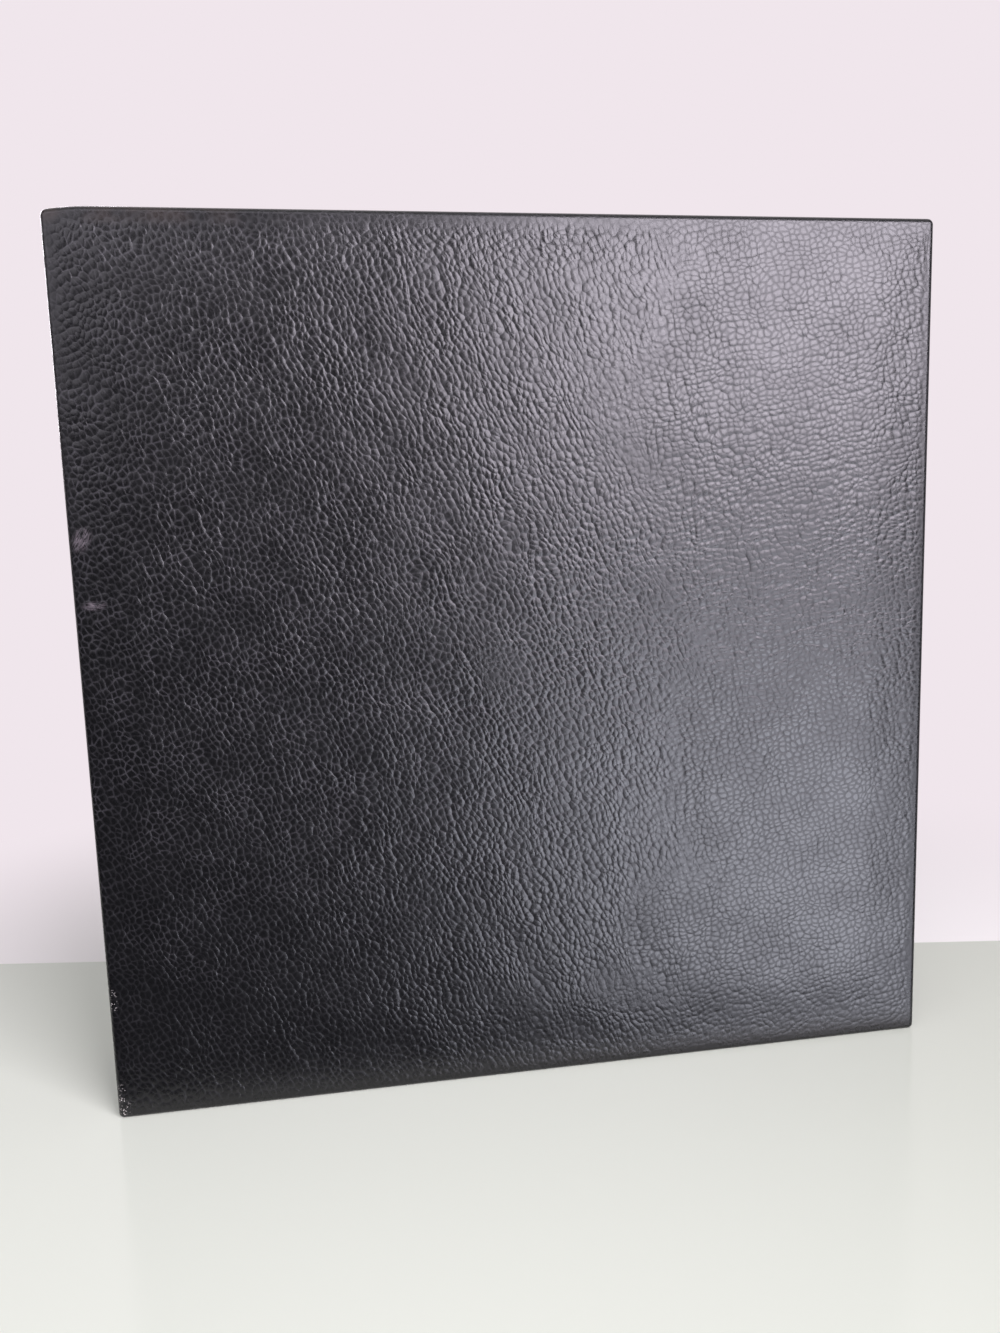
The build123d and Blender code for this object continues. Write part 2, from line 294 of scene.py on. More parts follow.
def carried_section(name, path, section, material, shape=None):
    """Closed section carried along a path, with a flat cap at each end.

    A path row is x, y, the outward direction and the hide's u. A section row is the depth
    below the path, the height z and the hide's v. A point is the path's place less the
    outward direction times the depth. Shape changes all points before the mesh is made.
    """
    place, outward, u = path[:, None, 0:2], path[:, None, 2:4], path[:, None, 4]
    plan = place - outward * section[None, :, 0:1]
    z = np.broadcast_to(section[None, :, 1], plan.shape[:2])
    points = np.dstack([plan, z]).reshape(-1, 3)
    if shape:
        points = shape(points)
    v = np.broadcast_to(section[None, :, 2], plan.shape[:2])
    uv = np.stack([u + 0 * v, v], axis=-1).reshape(-1, 2)
    rows, columns = v.shape
    faces = grid_faces(rows, columns, wrapped=True).tolist()
    faces += [list(range(columns)), list(range((rows - 1) * columns, rows * columns))]
    return make_piece(name, points, faces, uv, material)


def edge_arc(radius):
    """Depth, drop and length of a quarter circle from an upright face to the flat on top."""
    turn = np.linspace(0, math.pi / 2, arc_points)
    return radius * (1 - np.cos(turn)), radius * (1 - np.sin(turn)), radius * turn


def mirrored_ends(depth, from_head, beyond):
    """Whole section from its upper half: an upright stretch, then the same end upside down.

    The upper half starts at the top of the outer face and ends at the top of the inner face.
    Its parts are joined up first. Beyond is the hide's length past the edge's rounding.
    """
    depth, from_head, beyond = (np.concatenate(parts) for parts in (depth, from_head, beyond))
    spacing = 2 * MM
    upright = np.arange(edge_radius + spacing, head - edge_radius - spacing / 2, spacing)
    return np.stack([
        np.concatenate([depth[0] + 0 * upright, depth, depth[::-1]]),
        np.concatenate([upright, head - from_head, from_head[::-1]]),
        np.concatenate([upright, head - edge_radius + beyond, (edge_radius - beyond)[::-1]]),
    ], axis=-1)


def spine_section():
    """Hide of the spine: outer face, over the head, turned in, and back against the board."""
    arc_depth, arc_drop, arc_length = edge_arc(edge_radius)
    fold_depth, fold_drop, fold_length = edge_arc(hide_thickness)
    inner_depth, inner_drop, inner_length = edge_arc(edge_radius - hide_thickness)
    wrapped = arc_length[-1] + (hide_depth - edge_radius)
    board_face, turned_to = hide_depth - hide_thickness, hide_thickness + turn_in
    return mirrored_ends(
        [arc_depth, hide_depth - fold_depth[::-1], [hide_depth, board_face, board_face],
         hide_thickness + inner_depth[::-1]],
        [arc_drop, fold_drop[::-1], [turned_to, turned_to, hide_thickness],
         hide_thickness + inner_drop[::-1]],
        [arc_length, wrapped - fold_length[::-1] + hide_thickness,
         [wrapped + turn_in, wrapped + turn_in, wrapped], inner_length[::-1]])


def joint_section():
    """Hide of a joint: one layer, folded double at the head and tail where no board stands."""
    arc_depth, arc_drop, arc_length = edge_arc(edge_radius)
    doubled = 0.93 * edge_radius
    turned_to = arc_length[-1] + turn_in
    return mirrored_ends([np.minimum(arc_depth, doubled), [doubled, hide_thickness]],
                         [arc_drop, [turn_in, turn_in]], [arc_length, [turned_to, turned_to]])


def joint_path(face, centre_y, inward, spine_end, u_joint, direction):
    """Path round one corner of the case: cover margin, quarter circle and leg on the spine."""
    margin_x = np.linspace(seam_x, joint_edge, margin_points + 1)[:-1]
    turn = np.linspace(0, math.pi / 2, 11)
    leg = np.linspace(centre_y, spine_end, 4)[1:]
    round_x = joint_edge - edge_radius * np.sin(turn)
    round_y = centre_y - inward * edge_radius * np.cos(turn)
    x = np.concatenate([margin_x, round_x, spine_face + 0 * leg])
    y = np.concatenate([face + 0 * margin_x, round_y, leg])
    out_x = np.concatenate([0 * margin_x, -np.sin(turn), -1 + 0 * leg])
    out_y = -inward * np.concatenate([1 + 0 * margin_x, np.cos(turn), 0 * leg])
    run = np.concatenate([joint_edge - margin_x, edge_radius * turn,
                          joint_length + np.abs(leg - centre_y)])
    return np.stack([x, y, out_x, out_y, u_joint + direction * run], axis=-1)


def lift_margin(points):
    """Gives the front joint's flat margin the padded field's slope, then wears its corner."""
    lifted = points.copy()
    margin = points[:, 0] > joint_edge
    lifted[margin, 1] -= raised_field(points[margin, 0], points[margin, 2])
    return worn_corner(lifted)


# Materials, and settings that many of their nodes share
smooth, in_plane = {"interpolation_type": "SMOOTHSTEP"}, {"noise_dimensions": "2D"}
rgba = {"data_type": "RGBA"}


def linear(hex_colour):
    """Linear RGBA from an sRGB hex value."""
    channels = [int(hex_colour[i:i + 2], 16) / 255 for i in (1, 3, 5)]
    return tuple(c / 12.92 if c <= 0.04045 else ((c + 0.055) / 1.055) ** 2.4
                 for c in channels) + (1.0,)


def add(tree, kind, inputs=None, **settings):
    """Adds a shader node, makes its settings and fills its sockets with values or links.

    A node given for a socket stands for its first output. Sockets go by name, or by number
    where names repeat or are long. Math: 0, 1 and 2 are its operands. Map Range: 0 is the
    value, 1 and 2 the range it comes from, 3 and 4 the range it goes to, which is 0 to 1 if
    not given. Mix: 0 is the factor, 2 and 3 are two numbers, 6 and 7 two colours, and its
    colour comes from output 2. Mix Shader: 0 is the factor, 1 and 2 are the shaders.
    """
    node = tree.nodes.new("ShaderNode" + kind)
    for setting, value in settings.items():
        setattr(node, setting, value)
    for socket, value in (inputs or {}).items():
        if isinstance(value, bpy.types.Node):
            value = value.outputs[0]
        if isinstance(value, bpy.types.NodeSocket):
            tree.links.new(value, node.inputs[socket])
        else:
            node.inputs[socket].default_value = value
    return node


def empty_tree(owner):
    """Clears the node tree of a material or world. Returns what adds its nodes."""
    owner.use_nodes = True
    owner.node_tree.nodes.clear()
    return partial(add, owner.node_tree)


def new_material(name):
    """Material with an empty node tree, and what adds its nodes."""
    material = bpy.data.materials.new(name)
    return material, empty_tree(material)


def dress(material, node, colour, roughness, height, depth, **plain):
    """Ends a material: bumps of a given depth, and a Principled shader with its plain values."""
    bump = node("Bump", {"Strength": 1.0, "Distance": depth, "Height": height})
    inputs = {"Base Color": colour, "Roughness": roughness, "Normal": bump}
    inputs.update({name.replace("_", " "): value for name, value in plain.items()})
    node("OutputMaterial", {"Surface": node("BsdfPrincipled", inputs)})
    return material


def tumbled_cowhide():
    """Tumbled cowhide, spray-finished black.

    Small convex pebbles between narrow creases, with a few long folds, drawn out towards the
    head edge. The finish is polished on the pebbles' tops and duller in the creases, which
    give a broad sheen towards the window. Near the spine, where the sheen doesn't reach, the
    creases are painted a little lighter than the tops, in a broken net of painted sheen that
    stands in for light caught on the crease walls.
    """
    material, node = new_material("tumbled_cowhide_black")
    hide = node("UVMap", uv_map="hide")
    axes = node("SeparateXYZ", {0: hide})
    u, v = axes.outputs[0], axes.outputs[1]

    # Distances from the case's edges, along the hide
    spine_to_fore = fore_edge - edge_radius - u_spine_middle
    spine_to_joint = (u_front_joint - u_back_joint) / 2
    from_tail = node("Math", {0: v, 1: edge_radius}, operation="SUBTRACT")
    from_head = node("Math", {0: head - edge_radius, 1: v}, operation="SUBTRACT")
    off_spine = node("Math", {0: u, 1: u_spine_middle}, operation="SUBTRACT")
    off_spine = node("Math", {0: off_spine}, operation="ABSOLUTE")
    from_fore = node("Math", {0: spine_to_fore, 1: off_spine}, operation="SUBTRACT")
    from_joint = node("Math", {0: off_spine, 1: spine_to_joint}, operation="SUBTRACT")
    from_joint = node("Math", {0: from_joint}, operation="ABSOLUTE")

    # The grain wanders: its coordinates are pushed about by soft noise
    drift = node("TexNoise", {"Vector": hide, "Scale": 1 / (15 * MM), "Detail": 2.0}, **in_plane)
    pushed = node("VectorMath", {0: drift.outputs["Color"], 1: (0.5, 0.5, 0.5)},
                  operation="SUBTRACT")
    pushed = node("VectorMath", {0: pushed, "Scale": 4.0 * MM}, operation="SCALE")
    wandering = node("VectorMath", {0: hide, 1: pushed}, operation="ADD")

    def pebbles(width, length, slant, seed):
        """Domes and creases of pebbles drawn out one way: 1 - 2 F^2, and the way to the crease.

        F is the distance to the middle of the pebble, in pebble widths.
        """
        place = node("Mapping", {"Vector": wandering, "Location": (seed, 2 * seed, 0),
                                 "Rotation": (0, 0, slant), "Scale": (width, length, 1)},
                     vector_type="TEXTURE")
        cells = {"Vector": place, "Scale": 1.0, "Randomness": 0.72}
        middle = node("TexVoronoi", cells, voronoi_dimensions="2D", feature="F1")
        dome = node("Math", {0: middle.outputs["Distance"], 1: 2.0}, operation="POWER")
        dome = node("Math", {0: dome, 1: -2.0, 2: 1.0}, operation="MULTIPLY_ADD")
        edge = node("TexVoronoi", cells, voronoi_dimensions="2D", feature="DISTANCE_TO_EDGE")
        return dome, edge.outputs["Distance"]

    # Pebbles lie upright and slanting near the spine, and level towards the fore edge. The
    # change comes at a run across the hide that soft noise moves by up to 160 mm.
    upright, upright_edge = pebbles(1.9 * MM, 2.4 * MM, slant=math.radians(26), seed=3.7)
    level, level_edge = pebbles(2.35 * MM, 1.9 * MM, slant=math.radians(12), seed=9.1)
    place = node("TexNoise", {"Vector": hide, "Scale": 1 / (60 * MM), "Detail": 1.0}, **in_plane)
    across = node("Math", {0: place, 1: 160 * MM, 2: u}, operation="MULTIPLY_ADD")
    towards_fore = node("MapRange", {0: across, 1: 75 * MM, 2: 150 * MM}, **smooth)
    turned = node("MapRange", {0: across, 1: 95 * MM, 2: 130 * MM}, **smooth)
    dome = node("Mix", {0: turned, 2: upright, 3: level})
    crease = node("Mix", {0: turned, 2: upright_edge, 3: level_edge})
    groove = node("MapRange", {0: crease, 1: 0.0, 2: 0.18}, **smooth)
    fine = pebbles(1.15 * MM, 1.25 * MM, slant=0.4, seed=5.3)[0]

    # Long folds, where a stretched noise passes through its middle value
    folds, fold_depth, fold_width = 0.0, 0.17, 0.06
    for width, length, slant, seed in ((5.5, 30, 28, 1.7), (7.5, 40, 6, 6.1)):
        place = node("Mapping", {"Vector": wandering, "Location": (seed, seed, 0),
                                 "Rotation": (0, 0, math.radians(slant)),
                                 "Scale": (width * MM, length * MM, 1)}, vector_type="TEXTURE")
        ridge = node("TexNoise", {"Vector": place, "Scale": 1.0, "Detail": 1.0}, **in_plane)
        ridge = node("Math", {0: ridge, 1: 0.5}, operation="SUBTRACT")
        ridge = node("Math", {0: ridge}, operation="ABSOLUTE")
        ridge = node("MapRange", {0: ridge, 1: 0.0, 2: fold_width, 4: fold_depth}, **smooth)
        folds = node("Math", {0: ridge, 1: folds}, operation="ADD")

    # Height of the grain: domes, narrow grooves round them, finer grain and long folds
    groove_share, fine_share = 0.05, 0.09
    grain = node("Math", {0: groove, 1: groove_share, 2: dome}, operation="MULTIPLY_ADD")
    grain = node("Math", {0: fine, 1: fine_share, 2: grain}, operation="MULTIPLY_ADD")
    grain = node("Math", {0: grain, 1: folds}, operation="ADD")

    # It is deeper towards the spine, calm low on the fore half, uneven everywhere, and pulled
    # flat over the edges, each over its reach in mm and down to its least share
    strength = node("TexNoise", {"Vector": hide, "Scale": 1 / (26 * MM), "Detail": 1.0}, **in_plane)
    strength = node("MapRange", {0: strength, 1: 0.25, 2: 0.7, 3: 0.85, 4: 1.15}, **smooth)
    deeper = node("MapRange", {0: across, 1: -70 * MM, 2: 30 * MM,
                               3: grain_depth_spine / grain_depth, 4: 1.0}, **smooth)
    for source, reach, least in ((from_head, 6, 0.2), (from_tail, 1.6, 0.3),
                                 (from_fore, 3.5, 0.2), (from_joint, 3, 0.3)):
        fade = node("MapRange", {0: source, 1: 0.2 * MM, 2: reach * MM, 3: least}, **smooth)
        strength = node("Math", {0: strength, 1: fade}, operation="MULTIPLY")
    calm = node("MapRange", {0: v, 1: 20 * MM, 2: 200 * MM, 3: 0.6}, **smooth)
    calm = node("Mix", {0: towards_fore, 2: 1.0, 3: calm})
    for share in (deeper, calm):
        strength = node("Math", {0: strength, 1: share}, operation="MULTIPLY")

    # Drawn creases run up to the head edge: they start over 0.5 to 4 mm and end by 22 mm
    drawn = node("Mapping", {"Vector": wandering, "Scale": (1 / (1.7 * MM), 1 / (16 * MM), 1)})
    drawn = node("TexNoise", {"Vector": drawn, "Scale": 1.0, "Detail": 2.0}, **in_plane)
    for low, high, start, end in ((0.5, 4, 0, 1), (9, 22, 1, 0)):
        near = node("MapRange", {0: from_head, 1: low * MM, 2: high * MM, 3: start, 4: end},
                    **smooth)
        drawn = node("Math", {0: drawn, 1: near}, operation="MULTIPLY")
    height = node("Math", {0: grain, 1: strength, 2: drawn}, operation="MULTIPLY_ADD")

    # How near a pebble's top is, by its dome near the spine and off its crease elsewhere
    near_top = node("MapRange", {0: dome, 1: 0.3, 2: 0.97}, **smooth)
    off_crease = node("MapRange", {0: crease, 1: 0.0, 2: 0.32}, **smooth)
    worn_top = node("Mix", {0: towards_fore, 2: near_top, 3: off_crease})

    # Colour: painted sheen, a broken net of lighter creases that stands in for light caught on the
    # crease walls, and fades to the fore edge and the tail
    painted_crease_sheen = node("MapRange", {0: crease, 1: 0.20, 2: 0.0}, **smooth)
    broken = node("TexNoise", {"Vector": hide, "Scale": 1 / (3.5 * MM), "Detail": 2.0}, **in_plane)
    for source, low, high, start, end in (
            (drift, 0.4, 0.64, 0.45, 0.95), (towards_fore, 0.2, 1.0, 1.0, 0.2),
            (broken, 0.38, 0.60, 0.35, 1.15), (v, 20 * MM, 130 * MM, 0.3, 1.0)):
        patchy = node("MapRange", {0: source, 1: low, 2: high, 3: start, 4: end}, **smooth)
        painted_crease_sheen = node("Math", {0: painted_crease_sheen, 1: patchy}, operation="MULTIPLY")
    tone = node("Mix", {0: painted_crease_sheen, 6: linear("#09090a"), 7: linear("#2a292b")}, **rgba)

    # The head edge by the spine has browned
    browned = node("MapRange", {0: from_head, 1: 0.5 * MM, 2: 5 * MM, 3: 0.6, 4: 0.0}, **smooth)
    for source, low, high in ((u, -60 * MM, -120 * MM), (drift, 0.35, 0.6),
                              (from_head, -6 * MM, -2 * MM)):
        fade = node("MapRange", {0: source, 1: low, 2: high}, **smooth)
        browned = node("Math", {0: browned, 1: fade}, operation="MULTIPLY")
    tone = node("Mix", {0: browned, 6: tone.outputs[2], 7: linear("#261e1a")}, **rgba)

    # Rubbed places near the spine, where fibres show through: middle, half size and slant
    rubbed = 0.0
    for at_u, at_v, half_width, half_height, slant in (
            (-145.6, 201.0, 5.5, 3.6, 62), (-143.4, 179.5, 5.0, 2.0, 4)):
        place = node("Mapping", {"Vector": hide, "Location": (at_u * MM, at_v * MM, 0),
                                 "Rotation": (0, 0, math.radians(slant)), "Scale": (MM, MM, 1)},
                     vector_type="TEXTURE")
        spread = node("VectorMath", {0: place, 1: (1 / half_width, 1 / half_height, 0)},
                      operation="MULTIPLY")
        spread = node("VectorMath", {0: spread}, operation="LENGTH").outputs["Value"]
        inside = node("MapRange", {0: spread, 1: 1.0, 2: 0.2}, **smooth)
        fibres = node("Mapping", {"Vector": place, "Scale": (0.35, 3.2, 1)})
        fibres = node("TexNoise", {"Vector": fibres, "Scale": 1.0, "Detail": 3.0}, **in_plane)
        fibres = node("MapRange", {0: fibres, 1: 0.38, 2: 0.62}, **smooth)
        rubbed = node("Math", {0: inside, 1: fibres, 2: rubbed}, operation="MULTIPLY_ADD")
    tone = node("Mix", {0: rubbed, 6: tone.outputs[2], 7: linear("#4e474b")}, **rgba)

    # Specks of bare fibre where the front joint has been knocked: middle and half size
    speck = node("TexVoronoi", {"Vector": hide, "Scale": 1 / (0.75 * MM)},
                 voronoi_dimensions="2D")
    speck = node("MapRange", {0: speck.outputs["Distance"], 1: 0.36, 2: 0.16}, **smooth)
    knocked = 0.0
    for at_u, at_v, half_width, half_height in ((-148.2, 4.0, 3.4, 13.0),
                                                (-148.6, 43.5, 2.2, 6.0)):
        place = node("Mapping", {"Vector": hide, "Location": (at_u * MM, at_v * MM, 0),
                                 "Scale": (half_width * MM, half_height * MM, 1)},
                     vector_type="TEXTURE")
        spread = node("VectorMath", {0: place}, operation="LENGTH").outputs["Value"]
        inside = node("MapRange", {0: spread, 1: 1.0, 2: 0.1}, **smooth)
        knocked = node("Math", {0: inside, 1: knocked}, operation="ADD")
    scatter = node("TexNoise", {"Vector": hide, "Scale": 1 / (1.6 * MM), "Detail": 1.0}, **in_plane)
    scatter = node("MapRange", {0: scatter, 1: 0.48, 2: 0.6}, **smooth)
    for share in (scatter, speck):
        knocked = node("Math", {0: knocked, 1: share}, operation="MULTIPLY")
    tone = node("Mix", {0: knocked, 6: tone.outputs[2], 7: linear("#a8a39f")}, **rgba)

    # Roughness: polished tops, duller creases, slow clouds, and dry where it is rubbed bare
    cloud, bare_roughness = 0.02, 0.35
    ground = node("MapRange", {0: towards_fore, 3: crease_roughness, 4: crease_roughness_fore})
    polish = node("MapRange", {0: worn_top, 3: ground, 4: finish_roughness})
    clouds = node("TexNoise", {"Vector": hide, "Scale": 1 / (18 * MM), "Detail": 3.0}, **in_plane)
    clouds = node("MapRange", {0: clouds, 1: 0.3, 2: 0.7, 3: -cloud, 4: cloud}, **smooth)
    roughness = node("Math", {0: polish, 1: clouds}, operation="ADD")
    bare = node("Math", {0: rubbed, 1: knocked}, operation="MAXIMUM")
    roughness = node("Math", {0: bare, 1: bare_roughness, 2: roughness}, operation="MULTIPLY_ADD")
    return dress(material, node, tone.outputs[2], roughness, height, grain_depth,
                 Specular_IOR_Level=0.42)


def woven_bookcloth():
    """Plain-woven cotton bookcloth, dyed black and sized.

    Fine square threads that pass over and under each other, and a dry matt surface. The
    height is |sin| of the run across a thread, of the warp on the odd cells of a chessboard
    and of the weft on the even ones.
    """
    material, node = new_material("bookcloth_black")
    axes = node("SeparateXYZ", {0: node("TexCoord").outputs["Object"]})
    across = node("Math", {0: axes.outputs[0], 1: axes.outputs[1]}, operation="ADD")
    place = node("CombineXYZ", {0: across, 1: 0.25 * cloth_thread, 2: axes.outputs[2]})
    parity = node("TexChecker", {"Vector": place, "Scale": 1 / cloth_thread}).outputs["Fac"]
    threads = []
    for run in (across, axes.outputs[2]):
        turn = node("Math", {0: run, 1: math.pi / cloth_thread}, operation="MULTIPLY")
        turn = node("Math", {0: turn}, operation="SINE")
        threads.append(node("Math", {0: turn}, operation="ABSOLUTE"))
    weave = node("Mix", {0: parity, 2: threads[0], 3: threads[1]})
    slub = node("TexNoise", {"Vector": place, "Scale": 1 / (4 * MM), "Detail": 3.0})
    # Painted shade: the colour darkens from each thread's crown into the hollows between threads,
    # and the slub varies it at random
    tone = node("Math", {0: weave, 1: slub}, operation="MULTIPLY")
    colour = node("Mix", {0: tone, 6: linear("#141416"), 7: linear("#2b2b2f")}, **rgba)
    roughness = node("MapRange", {0: slub, 3: 0.72, 4: 0.88})
    return dress(material, node, colour.outputs[2], roughness, weave, 0.06 * MM,
                 Sheen_Weight=0.15)


def napped_suede():
    """Charcoal suede cloth, brushed.

    A short soft nap that lies this way and that, so it looks cloudy, and lightens at its edges.
    A real nap's fibres are under 0.1 mm apart. They are drawn 0.45 mm apart, so that they show.
    """
    material, node = new_material("suede_cloth_charcoal")
    place = node("TexCoord").outputs["Object"]
    nap = node("TexNoise", {"Vector": place, "Scale": 1 / (0.45 * MM), "Detail": 3.0})
    lie = node("TexNoise", {"Vector": place, "Scale": 1 / (28 * MM), "Detail": 3.0,
                            "Distortion": 0.6})
    mixed = node("Math", {0: nap, 1: 1.2, 2: lie}, operation="MULTIPLY_ADD")
    shade = node("MapRange", {0: mixed, 1: 0.7, 2: 1.5})
    colour = node("Mix", {0: shade, 6: linear("#2c2c30"), 7: linear("#47474c")}, **rgba)
    roughness = node("MapRange", {0: lie, 3: 0.85, 4: 0.98})
    return dress(material, node, colour.outputs[2], roughness, nap, 0.12 * MM,
                 Sheen_Weight=0.4, Sheen_Roughness=0.45)


def rolled_steel():
    """Keeper plates of cold-rolled mild steel: fine lines from the rolls, dull grey."""
    material, node = new_material("mild_steel_rolled")
    place = node("Mapping", {"Vector": node("TexCoord").outputs["Object"],
                             "Scale": (1 / (0.3 * MM), 1 / (0.12 * MM), 1 / (4 * MM))})
    lines = node("TexNoise", {"Vector": place, "Scale": 1.0, "Detail": 4.0})
    colour = node("Mix", {0: lines, 6: linear("#8d8e92"), 7: linear("#b4b5b8")}, **rgba)
    roughness = node("MapRange", {0: lines, 3: 0.3, 4: 0.5})
    return dress(material, node, colour.outputs[2], roughness, lines, 0.01 * MM, Metallic=1.0)


def plated_nickel():
    """Magnets' bright nickel plating: smooth, slightly yellow, with hairline scratches."""
    material, node = new_material("nickel_plated")
    place = node("TexCoord").outputs["Object"]
    bloom = node("TexNoise", {"Vector": place, "Scale": 1 / (3 * MM), "Detail": 2.0})
    scratch = node("TexVoronoi", {"Vector": place, "Scale": 1 / (2.2 * MM)},
                   feature="DISTANCE_TO_EDGE")
    hair = node("MapRange", {0: scratch, 1: 0.0, 2: 0.02})
    colour = node("Mix", {0: bloom, 6: linear("#d3cfc6"), 7: linear("#e2dfd8")}, **rgba)
    roughness = node("MapRange", {0: bloom, 3: 0.14, 4: 0.28})
    return dress(material, node, colour.outputs[2], roughness, hair, 0.003 * MM, Metallic=1.0)


def woven_satin():
    """Polyester satin ribbon, black: long floats along it, so its lustre lies in fine lines.

    The two woven edges are denser, and duller than the middle. Real threads are 0.1 mm apart,
    and are drawn 0.22 mm apart, so that they show.
    """
    material, node = new_material("satin_ribbon_black")
    place = node("UVMap", uv_map="hide")
    floats = node("Mapping", {"Vector": place, "Scale": (1 / (5 * MM), 1 / (0.22 * MM), 1)})
    floats = node("TexNoise", {"Vector": floats, "Scale": 1.0, "Detail": 2.0}, **in_plane)
    up = node("SeparateXYZ", {0: place}).outputs[1]
    off_middle = node("Math", {0: up, 1: head / 2}, operation="SUBTRACT")
    off_middle = node("Math", {0: off_middle}, operation="ABSOLUTE")
    selvedge = node("MapRange", {0: off_middle, 1: 8.8 * MM, 2: 9.2 * MM})
    colour = node("Mix", {0: floats, 6: linear("#121214"), 7: linear("#26262a")}, **rgba)
    roughness = node("MapRange", {0: selvedge, 3: 0.32, 4: 0.6})
    return dress(material, node, colour.outputs[2], roughness, floats, 0.03 * MM,
                 Anisotropic=0.5, Sheen_Weight=0.1)


def fibrous(name, low, high, fibre, roughness, depth):
    """Felted fibres: a noise stretched level, and one that breaks it up.

    Wadding looks soft and off-white. Greyboard, which is pressed, looks flat and matt, with
    faint grey flecks. Real fibres are about 0.02 mm thick, and are drawn thicker to show.
    """
    material, node = new_material(name)
    place = node("TexCoord").outputs["Object"]
    stretch, fleck_size, spread = 9, 2.5 * fibre, 0.06
    long_fibres = node("Mapping", {"Vector": place,
                                   "Scale": (1 / (stretch * fibre), 1 / fibre, 1 / fibre)})
    long_fibres = node("TexNoise", {"Vector": long_fibres, "Scale": 1.0, "Detail": 4.0,
                                    "Distortion": 1.2})
    flecks = node("TexNoise", {"Vector": place, "Scale": 1 / fleck_size, "Detail": 3.0})
    mixed = node("Math", {0: long_fibres, 1: flecks}, operation="ADD")
    shade = node("MapRange", {0: mixed, 1: 0.6, 2: 1.4})
    colour = node("Mix", {0: shade, 6: linear(low), 7: linear(high)}, **rgba)
    rough = node("MapRange", {0: flecks, 3: roughness - spread, 4: roughness + spread})
    return dress(material, node, colour.outputs[2], rough, mixed, depth)


def split_skiver():
    """Skiver, the thin outer split of a sheepskin, dyed black and glazed.

    Very fine even pores and faint pull lines, with a low satin gloss. Real pores are about
    0.3 mm apart, and are drawn 0.7 mm apart, so that they show.
    """
    material, node = new_material("skiver_black")
    place = node("TexCoord").outputs["Object"]
    pores = node("TexVoronoi", {"Vector": place, "Scale": 1 / (0.7 * MM), "Randomness": 1.0})
    pull = node("TexNoise", {"Vector": place, "Scale": 1 / (14 * MM), "Detail": 4.0})
    height = node("Math", {0: pull, 1: pores.outputs["Distance"]}, operation="SUBTRACT")
    colour = node("Mix", {0: pull, 6: linear("#121213"), 7: linear("#1f1e20")}, **rgba)
    roughness = node("MapRange", {0: pull, 1: 0.3, 2: 0.7, 3: 0.36, 4: 0.48})
    return dress(material, node, colour.outputs[2], roughness, height, 0.05 * MM)


# Depth of the hide's grain, on the fore half and towards the spine, and roughness of its
# tops, of its creases near the spine and of those towards the fore edge
grain_depth, grain_depth_spine = 0.092 * MM, 0.115 * MM
finish_roughness, crease_roughness, crease_roughness_fore = 0.265, 0.33, 0.40
# Bookcloth's real threads are 0.35 mm apart, and are drawn a little coarser, so that they show
cloth_thread = 0.5 * MM

cowhide, bookcloth = tumbled_cowhide(), woven_bookcloth()
cotton = fibrous("cotton_wadding", "#dcd9d0", "#f0eee8", 0.25 * MM, 0.92, 0.2 * MM)
satin = woven_satin()
finishes = {
    "pebbled_leather": cowhide,
    "tray_leather": split_skiver(),
    "greyboard": fibrous("greyboard_pressed", "#7b7872", "#9a968f", 0.12 * MM, 0.85, 0.05 * MM),
    "wadding": cotton,
    "case_lining": bookcloth,
    "tray_lining": napped_suede(),
    "magnet": plated_nickel(),
    "keeper_steel": rolled_steel(),
    "ribbon": satin,
}
for part in frame["record"]["subparts"]:
    for slot in frame["nodes"][part["node"]].material_slots:
        slot.material = finishes[part["material_slot"]]

# The hide, with outlines closer together round the padded field's rim
rim_start, rim_end = 14 * MM, 30 * MM
face_insets = np.concatenate([np.linspace(edge_radius, rim_start, 9)[:-1],
                              np.linspace(rim_start, rim_end, 13)[:-1],
                              np.linspace(rim_end, head / 2, 53)])
front_hide = cover_hide("front_hide", front_band, 1, raised_field, 2.3 * MM, face_insets,
                        lambda x: x, cowhide)
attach(front_hide, "cover")
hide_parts("front_leather")
back_hide = cover_hide("back_hide", back_face, -1, lambda x, z: 0 * x, 3 * MM,
                       face_insets[::2], lambda x: u_back_joint - (x - joint_edge), cowhide)
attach(back_hide, "base")
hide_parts("back_leather")

spine_front, spine_back = spine_low.y, spine_high.y
across = np.linspace(spine_front, spine_back, 22)
spine_path = np.stack([spine_face + 0 * across, across, -1 + 0 * across, 0 * across,
                       u_front_joint - joint_length - (across - joint_centre_front)], axis=-1)
spine_hide = carried_section("spine_hide", spine_path, spine_section(), cowhide,
                             shape=worn_corner)
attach(spine_hide, "spine")
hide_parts("spine_leather")

front_path = joint_path(front_band, joint_centre_front, 1, spine_front, u_front_joint, -1)
back_path = joint_path(back_face, joint_centre_back, -1, spine_back, u_back_joint, 1)
front_joint_hide = carried_section("front_joint_hide", front_path, joint_section(), cowhide,
                                   shape=lift_margin)
back_joint_hide = carried_section("back_joint_hide", back_path, joint_section(), cowhide)
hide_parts("front_joint_leather")
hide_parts("back_joint_leather")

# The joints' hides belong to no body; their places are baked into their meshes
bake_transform(front_joint_hide)
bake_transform(back_joint_hide)

# Lining strips of the two joints, glued inside the leather between the turn-ins
lining_thickness = 0.5 * MM
strip_z = np.linspace(turn_in + hide_thickness, head - turn_in - hide_thickness, 60)
strip_around = np.concatenate([strip_z, strip_z[::-1]])
strip_depth = np.repeat([hide_thickness, hide_thickness + lining_thickness], strip_z.size)
strip_section = np.stack([strip_depth, strip_around, strip_around], axis=-1)
front_joint_strip = carried_section("front_joint_strip", front_path[margin_points:],
                                    strip_section, bookcloth)
back_joint_strip = carried_section("back_joint_strip", back_path[margin_points:],
                                   strip_section, bookcloth)
for piece, replaced in ((front_joint_strip, "front_joint_lining"),
                        (back_joint_strip, "back_joint_lining")):
    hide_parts(replaced)
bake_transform(front_joint_strip)
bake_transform(back_joint_strip)


